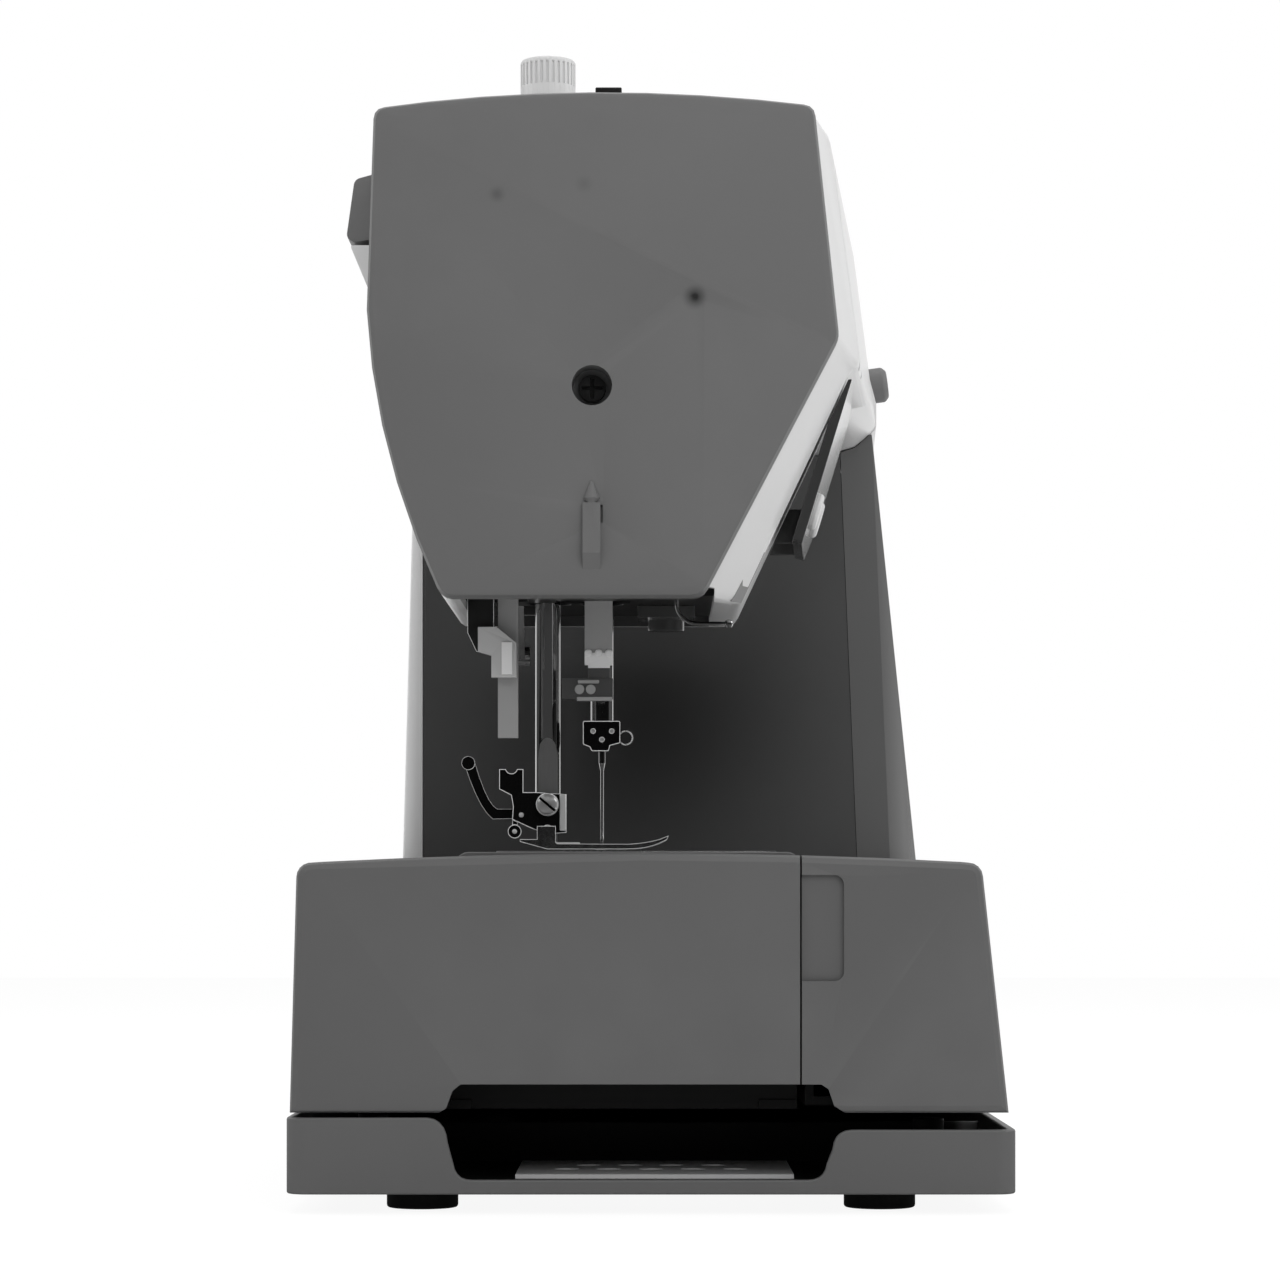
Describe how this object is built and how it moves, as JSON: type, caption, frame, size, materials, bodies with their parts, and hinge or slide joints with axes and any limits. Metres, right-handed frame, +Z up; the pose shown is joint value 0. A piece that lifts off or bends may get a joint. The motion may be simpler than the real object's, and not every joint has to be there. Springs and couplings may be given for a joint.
{
  "type": "sewing machine",
  "caption": "Household sewing machine with a free arm, a wrap-round accessory tray with a lid, a handwheel, a clip-on presser foot and a folding carry handle.",
  "frame": {"origin": "on the table, below the middle of the bounding box", "axes": "+X along the arm from the head to the handwheel, -Y towards the operator, +Z up"},
  "size_m": [0.408, 0.2, 0.335],
  "materials": {
    "cover_white": "glossy",
    "cover_grey": "satin",
    "base_grey": "satin",
    "panel_black": "glossy",
    "trim_dark": "satin",
    "dial_grey": "satin",
    "rubber": "matte",
    "steel": "satin",
    "chrome": "polished",
    "alloy": "satin",
    "bronze": "satin",
    "clear": "clear",
    "board_green": "satin",
    "lamp": "satin"
  },
  "bodies": {
    "machine_body": {"base_pan": "base_grey", "rubber_feet": "rubber", "bottom_plate": "steel", "bed_housing": "base_grey", "free_arm_shell": "cover_grey", "needle_plate": "steel", "bobbin_cover": "clear", "front_cover": "cover_white", "rear_cover": "cover_white", "face_cover": "cover_grey", "front_panel": "panel_black", "throat_panel": "panel_black", "button_panel": "trim_dark", "display_window": "panel_black", "thread_cutter": "cover_grey", "face_screw": "trim_dark", "head_plate": "trim_dark", "led_lamp": "lamp", "thread_guide": "chrome", "top_guide": "trim_dark", "spool_pin": "chrome", "bed_frame": "alloy", "arm_frame": "alloy", "shaft_bushes": "bronze", "timing_belt": "rubber", "motor_belt": "rubber", "drive_motor": "steel", "control_board": "board_green", "power_inlet": "trim_dark", "handle_pins": "steel", "buttonhole_bracket": "trim_dark", "bobbin_case": "trim_dark"},
    "upper_drive": {"handwheel": "cover_white", "main_shaft": "chrome"},
    "lower_drive": {"lower_shaft": "chrome"},
    "motor_rotor": {"motor_pulley": "steel"},
    "hook_drive": {"rotary_hook": "chrome"},
    "bobbin_spool": {"bobbin": "clear"},
    "feed": {"feed_dog": "steel"},
    "needle_drive": {"needle_bar": "chrome", "needle_clamp": "trim_dark", "needle": "chrome"},
    "threader_slide": {"threader": "dial_grey"},
    "presser": {"presser_bar": "chrome", "presser_spring": "chrome", "presser_ankle": "trim_dark"},
    "foot": {"presser_foot": "chrome"},
    "foot_release": {"release_lever": "trim_dark"},
    "lifter": {"lifter_lever": "chrome"},
    "buttonhole": {"buttonhole_lever": "dial_grey"},
    "take_up": {"take_up_lever": "chrome"},
    "pressure_control": {"pressure_dial": "dial_grey"},
    "tension_control": {"tension_dial": "steel"},
    "handle": {"carry_handle": "cover_grey"},
    "tray": {"accessory_tray": "cover_grey"},
    "lid": {"tray_lid": "cover_grey"},
    "start_control": {"start_button": "dial_grey"},
    "reverse_control": {"reverse_button": "dial_grey"},
    "stitch_control": {"stitch_dial": "cover_grey"},
    "switch": {"power_switch": "trim_dark"}
  },
  "joints": [
    {"name": "handwheel_spin", "type": "hinge", "parent": "machine_body", "child": "upper_drive", "pos_m": [0.164, 0.0145, 0.268], "axis": [1, 0, 0], "continuous": true},
    {"name": "lower_shaft_spin", "type": "hinge", "parent": "machine_body", "child": "lower_drive", "pos_m": [0.101, 0.0145, 0.06], "axis": [1, 0, 0], "continuous": true},
    {"name": "motor_spin", "type": "hinge", "parent": "machine_body", "child": "motor_rotor", "pos_m": [0.151, -0.055, 0.068], "axis": [1, 0, 0], "continuous": true},
    {"name": "hook_spin", "type": "hinge", "parent": "machine_body", "child": "hook_drive", "pos_m": [-0.114, -0.0065, 0.06], "axis": [0, 0, 1], "continuous": true},
    {"name": "bobbin_spin", "type": "hinge", "parent": "machine_body", "child": "bobbin_spool", "pos_m": [-0.114, -0.0065, 0.084], "axis": [0, 0, 1], "continuous": true},
    {"name": "feed_slide", "type": "slide", "parent": "machine_body", "child": "feed", "axis": [0, 1, 0], "range_m": [-0.002, 0.002]},
    {"name": "needle_slide", "type": "slide", "parent": "machine_body", "child": "needle_drive", "axis": [0, 0, 1], "range_m": [-0.0165, 0.0145]},
    {"name": "threader_slide", "type": "slide", "parent": "machine_body", "child": "threader_slide", "axis": [0, 0, 1], "range_m": [-0.018, 0]},
    {"name": "presser_slide", "type": "slide", "parent": "machine_body", "child": "presser", "axis": [0, 0, 1], "range_m": [0, 0.006], "deforming": ["presser_spring"]},
    {"name": "foot_tilt", "type": "hinge", "parent": "presser", "child": "foot", "pos_m": [-0.114, 0.0305, 0.1065], "axis": [1, 0, 0], "range_deg": [-8, 0]},
    {"name": "foot_release", "type": "hinge", "parent": "presser", "child": "foot_release", "pos_m": [-0.114, 0.0399, 0.1115], "axis": [1, 0, 0], "range_deg": [-12, 0], "stiffness_Nm_per_rad": 0.05},
    {"name": "lifter_turn", "type": "hinge", "parent": "machine_body", "child": "lifter", "pos_m": [-0.096, 0.0407, 0.186], "axis": [0, -1, 0], "range_deg": [0, 55.2]},
    {"name": "buttonhole_slide", "type": "slide", "parent": "machine_body", "child": "buttonhole", "axis": [0, 0, 1], "range_m": [0, 0.032]},
    {"name": "take_up_swing", "type": "hinge", "parent": "machine_body", "child": "take_up", "pos_m": [-0.136, -0.008, 0.254], "axis": [1, 0, 0], "range_deg": [-18, 12]},
    {"name": "pressure_turn", "type": "hinge", "parent": "machine_body", "child": "pressure_control", "pos_m": [-0.114, 0.0305, 0.325], "axis": [0, 0, 1], "range_deg": [-170, 170]},
    {"name": "tension_turn", "type": "hinge", "parent": "machine_body", "child": "tension_control", "pos_m": [-0.087, -0.024, 0.294], "axis": [1, 0, 0], "range_deg": [-150, 150]},
    {"name": "handle_swing", "type": "hinge", "parent": "machine_body", "child": "handle", "pos_m": [-0.031, 0.069, 0.297], "axis": [1, 0, 0], "range_deg": [0, 95]},
    {"name": "tray_slide", "type": "slide", "parent": "machine_body", "child": "tray", "axis": [-1, 0, 0], "range_m": [0, 0.25]},
    {"name": "lid_swing", "type": "hinge", "parent": "tray", "child": "lid", "pos_m": [-0.078, -0.0929, 0.0318], "axis": [1, 0, 0], "range_deg": [0, 85]},
    {"name": "start_press", "type": "slide", "parent": "machine_body", "child": "start_control", "axis": [-0.0478, -0.9552, -0.292], "range_m": [-0.0012, 0], "stiffness_N_per_m": 400},
    {"name": "reverse_press", "type": "slide", "parent": "machine_body", "child": "reverse_control", "axis": [-0.0478, -0.9552, -0.292], "range_m": [-0.0012, 0], "stiffness_N_per_m": 400},
    {"name": "stitch_turn", "type": "hinge", "parent": "machine_body", "child": "stitch_control", "pos_m": [0.081, -0.07537, 0.264], "axis": [-0.0446, -0.9904, 0.1309], "range_deg": [-150, 150]},
    {"name": "switch_rock", "type": "hinge", "parent": "machine_body", "child": "switch", "pos_m": [0.179, 0.069, 0.06], "axis": [0, 0, 1], "range_deg": [-6, 6]}
  ],
  "couplings": [
    {"joint": "lower_shaft_spin", "follows": "handwheel_spin", "ratio": 1},
    {"joint": "hook_spin", "follows": "handwheel_spin", "ratio": 2},
    {"joint": "motor_spin", "follows": "handwheel_spin", "ratio": 4.3077},
    {"joint": "lifter_turn", "follows": "presser_slide", "rad_per_m": 160}
  ]
}
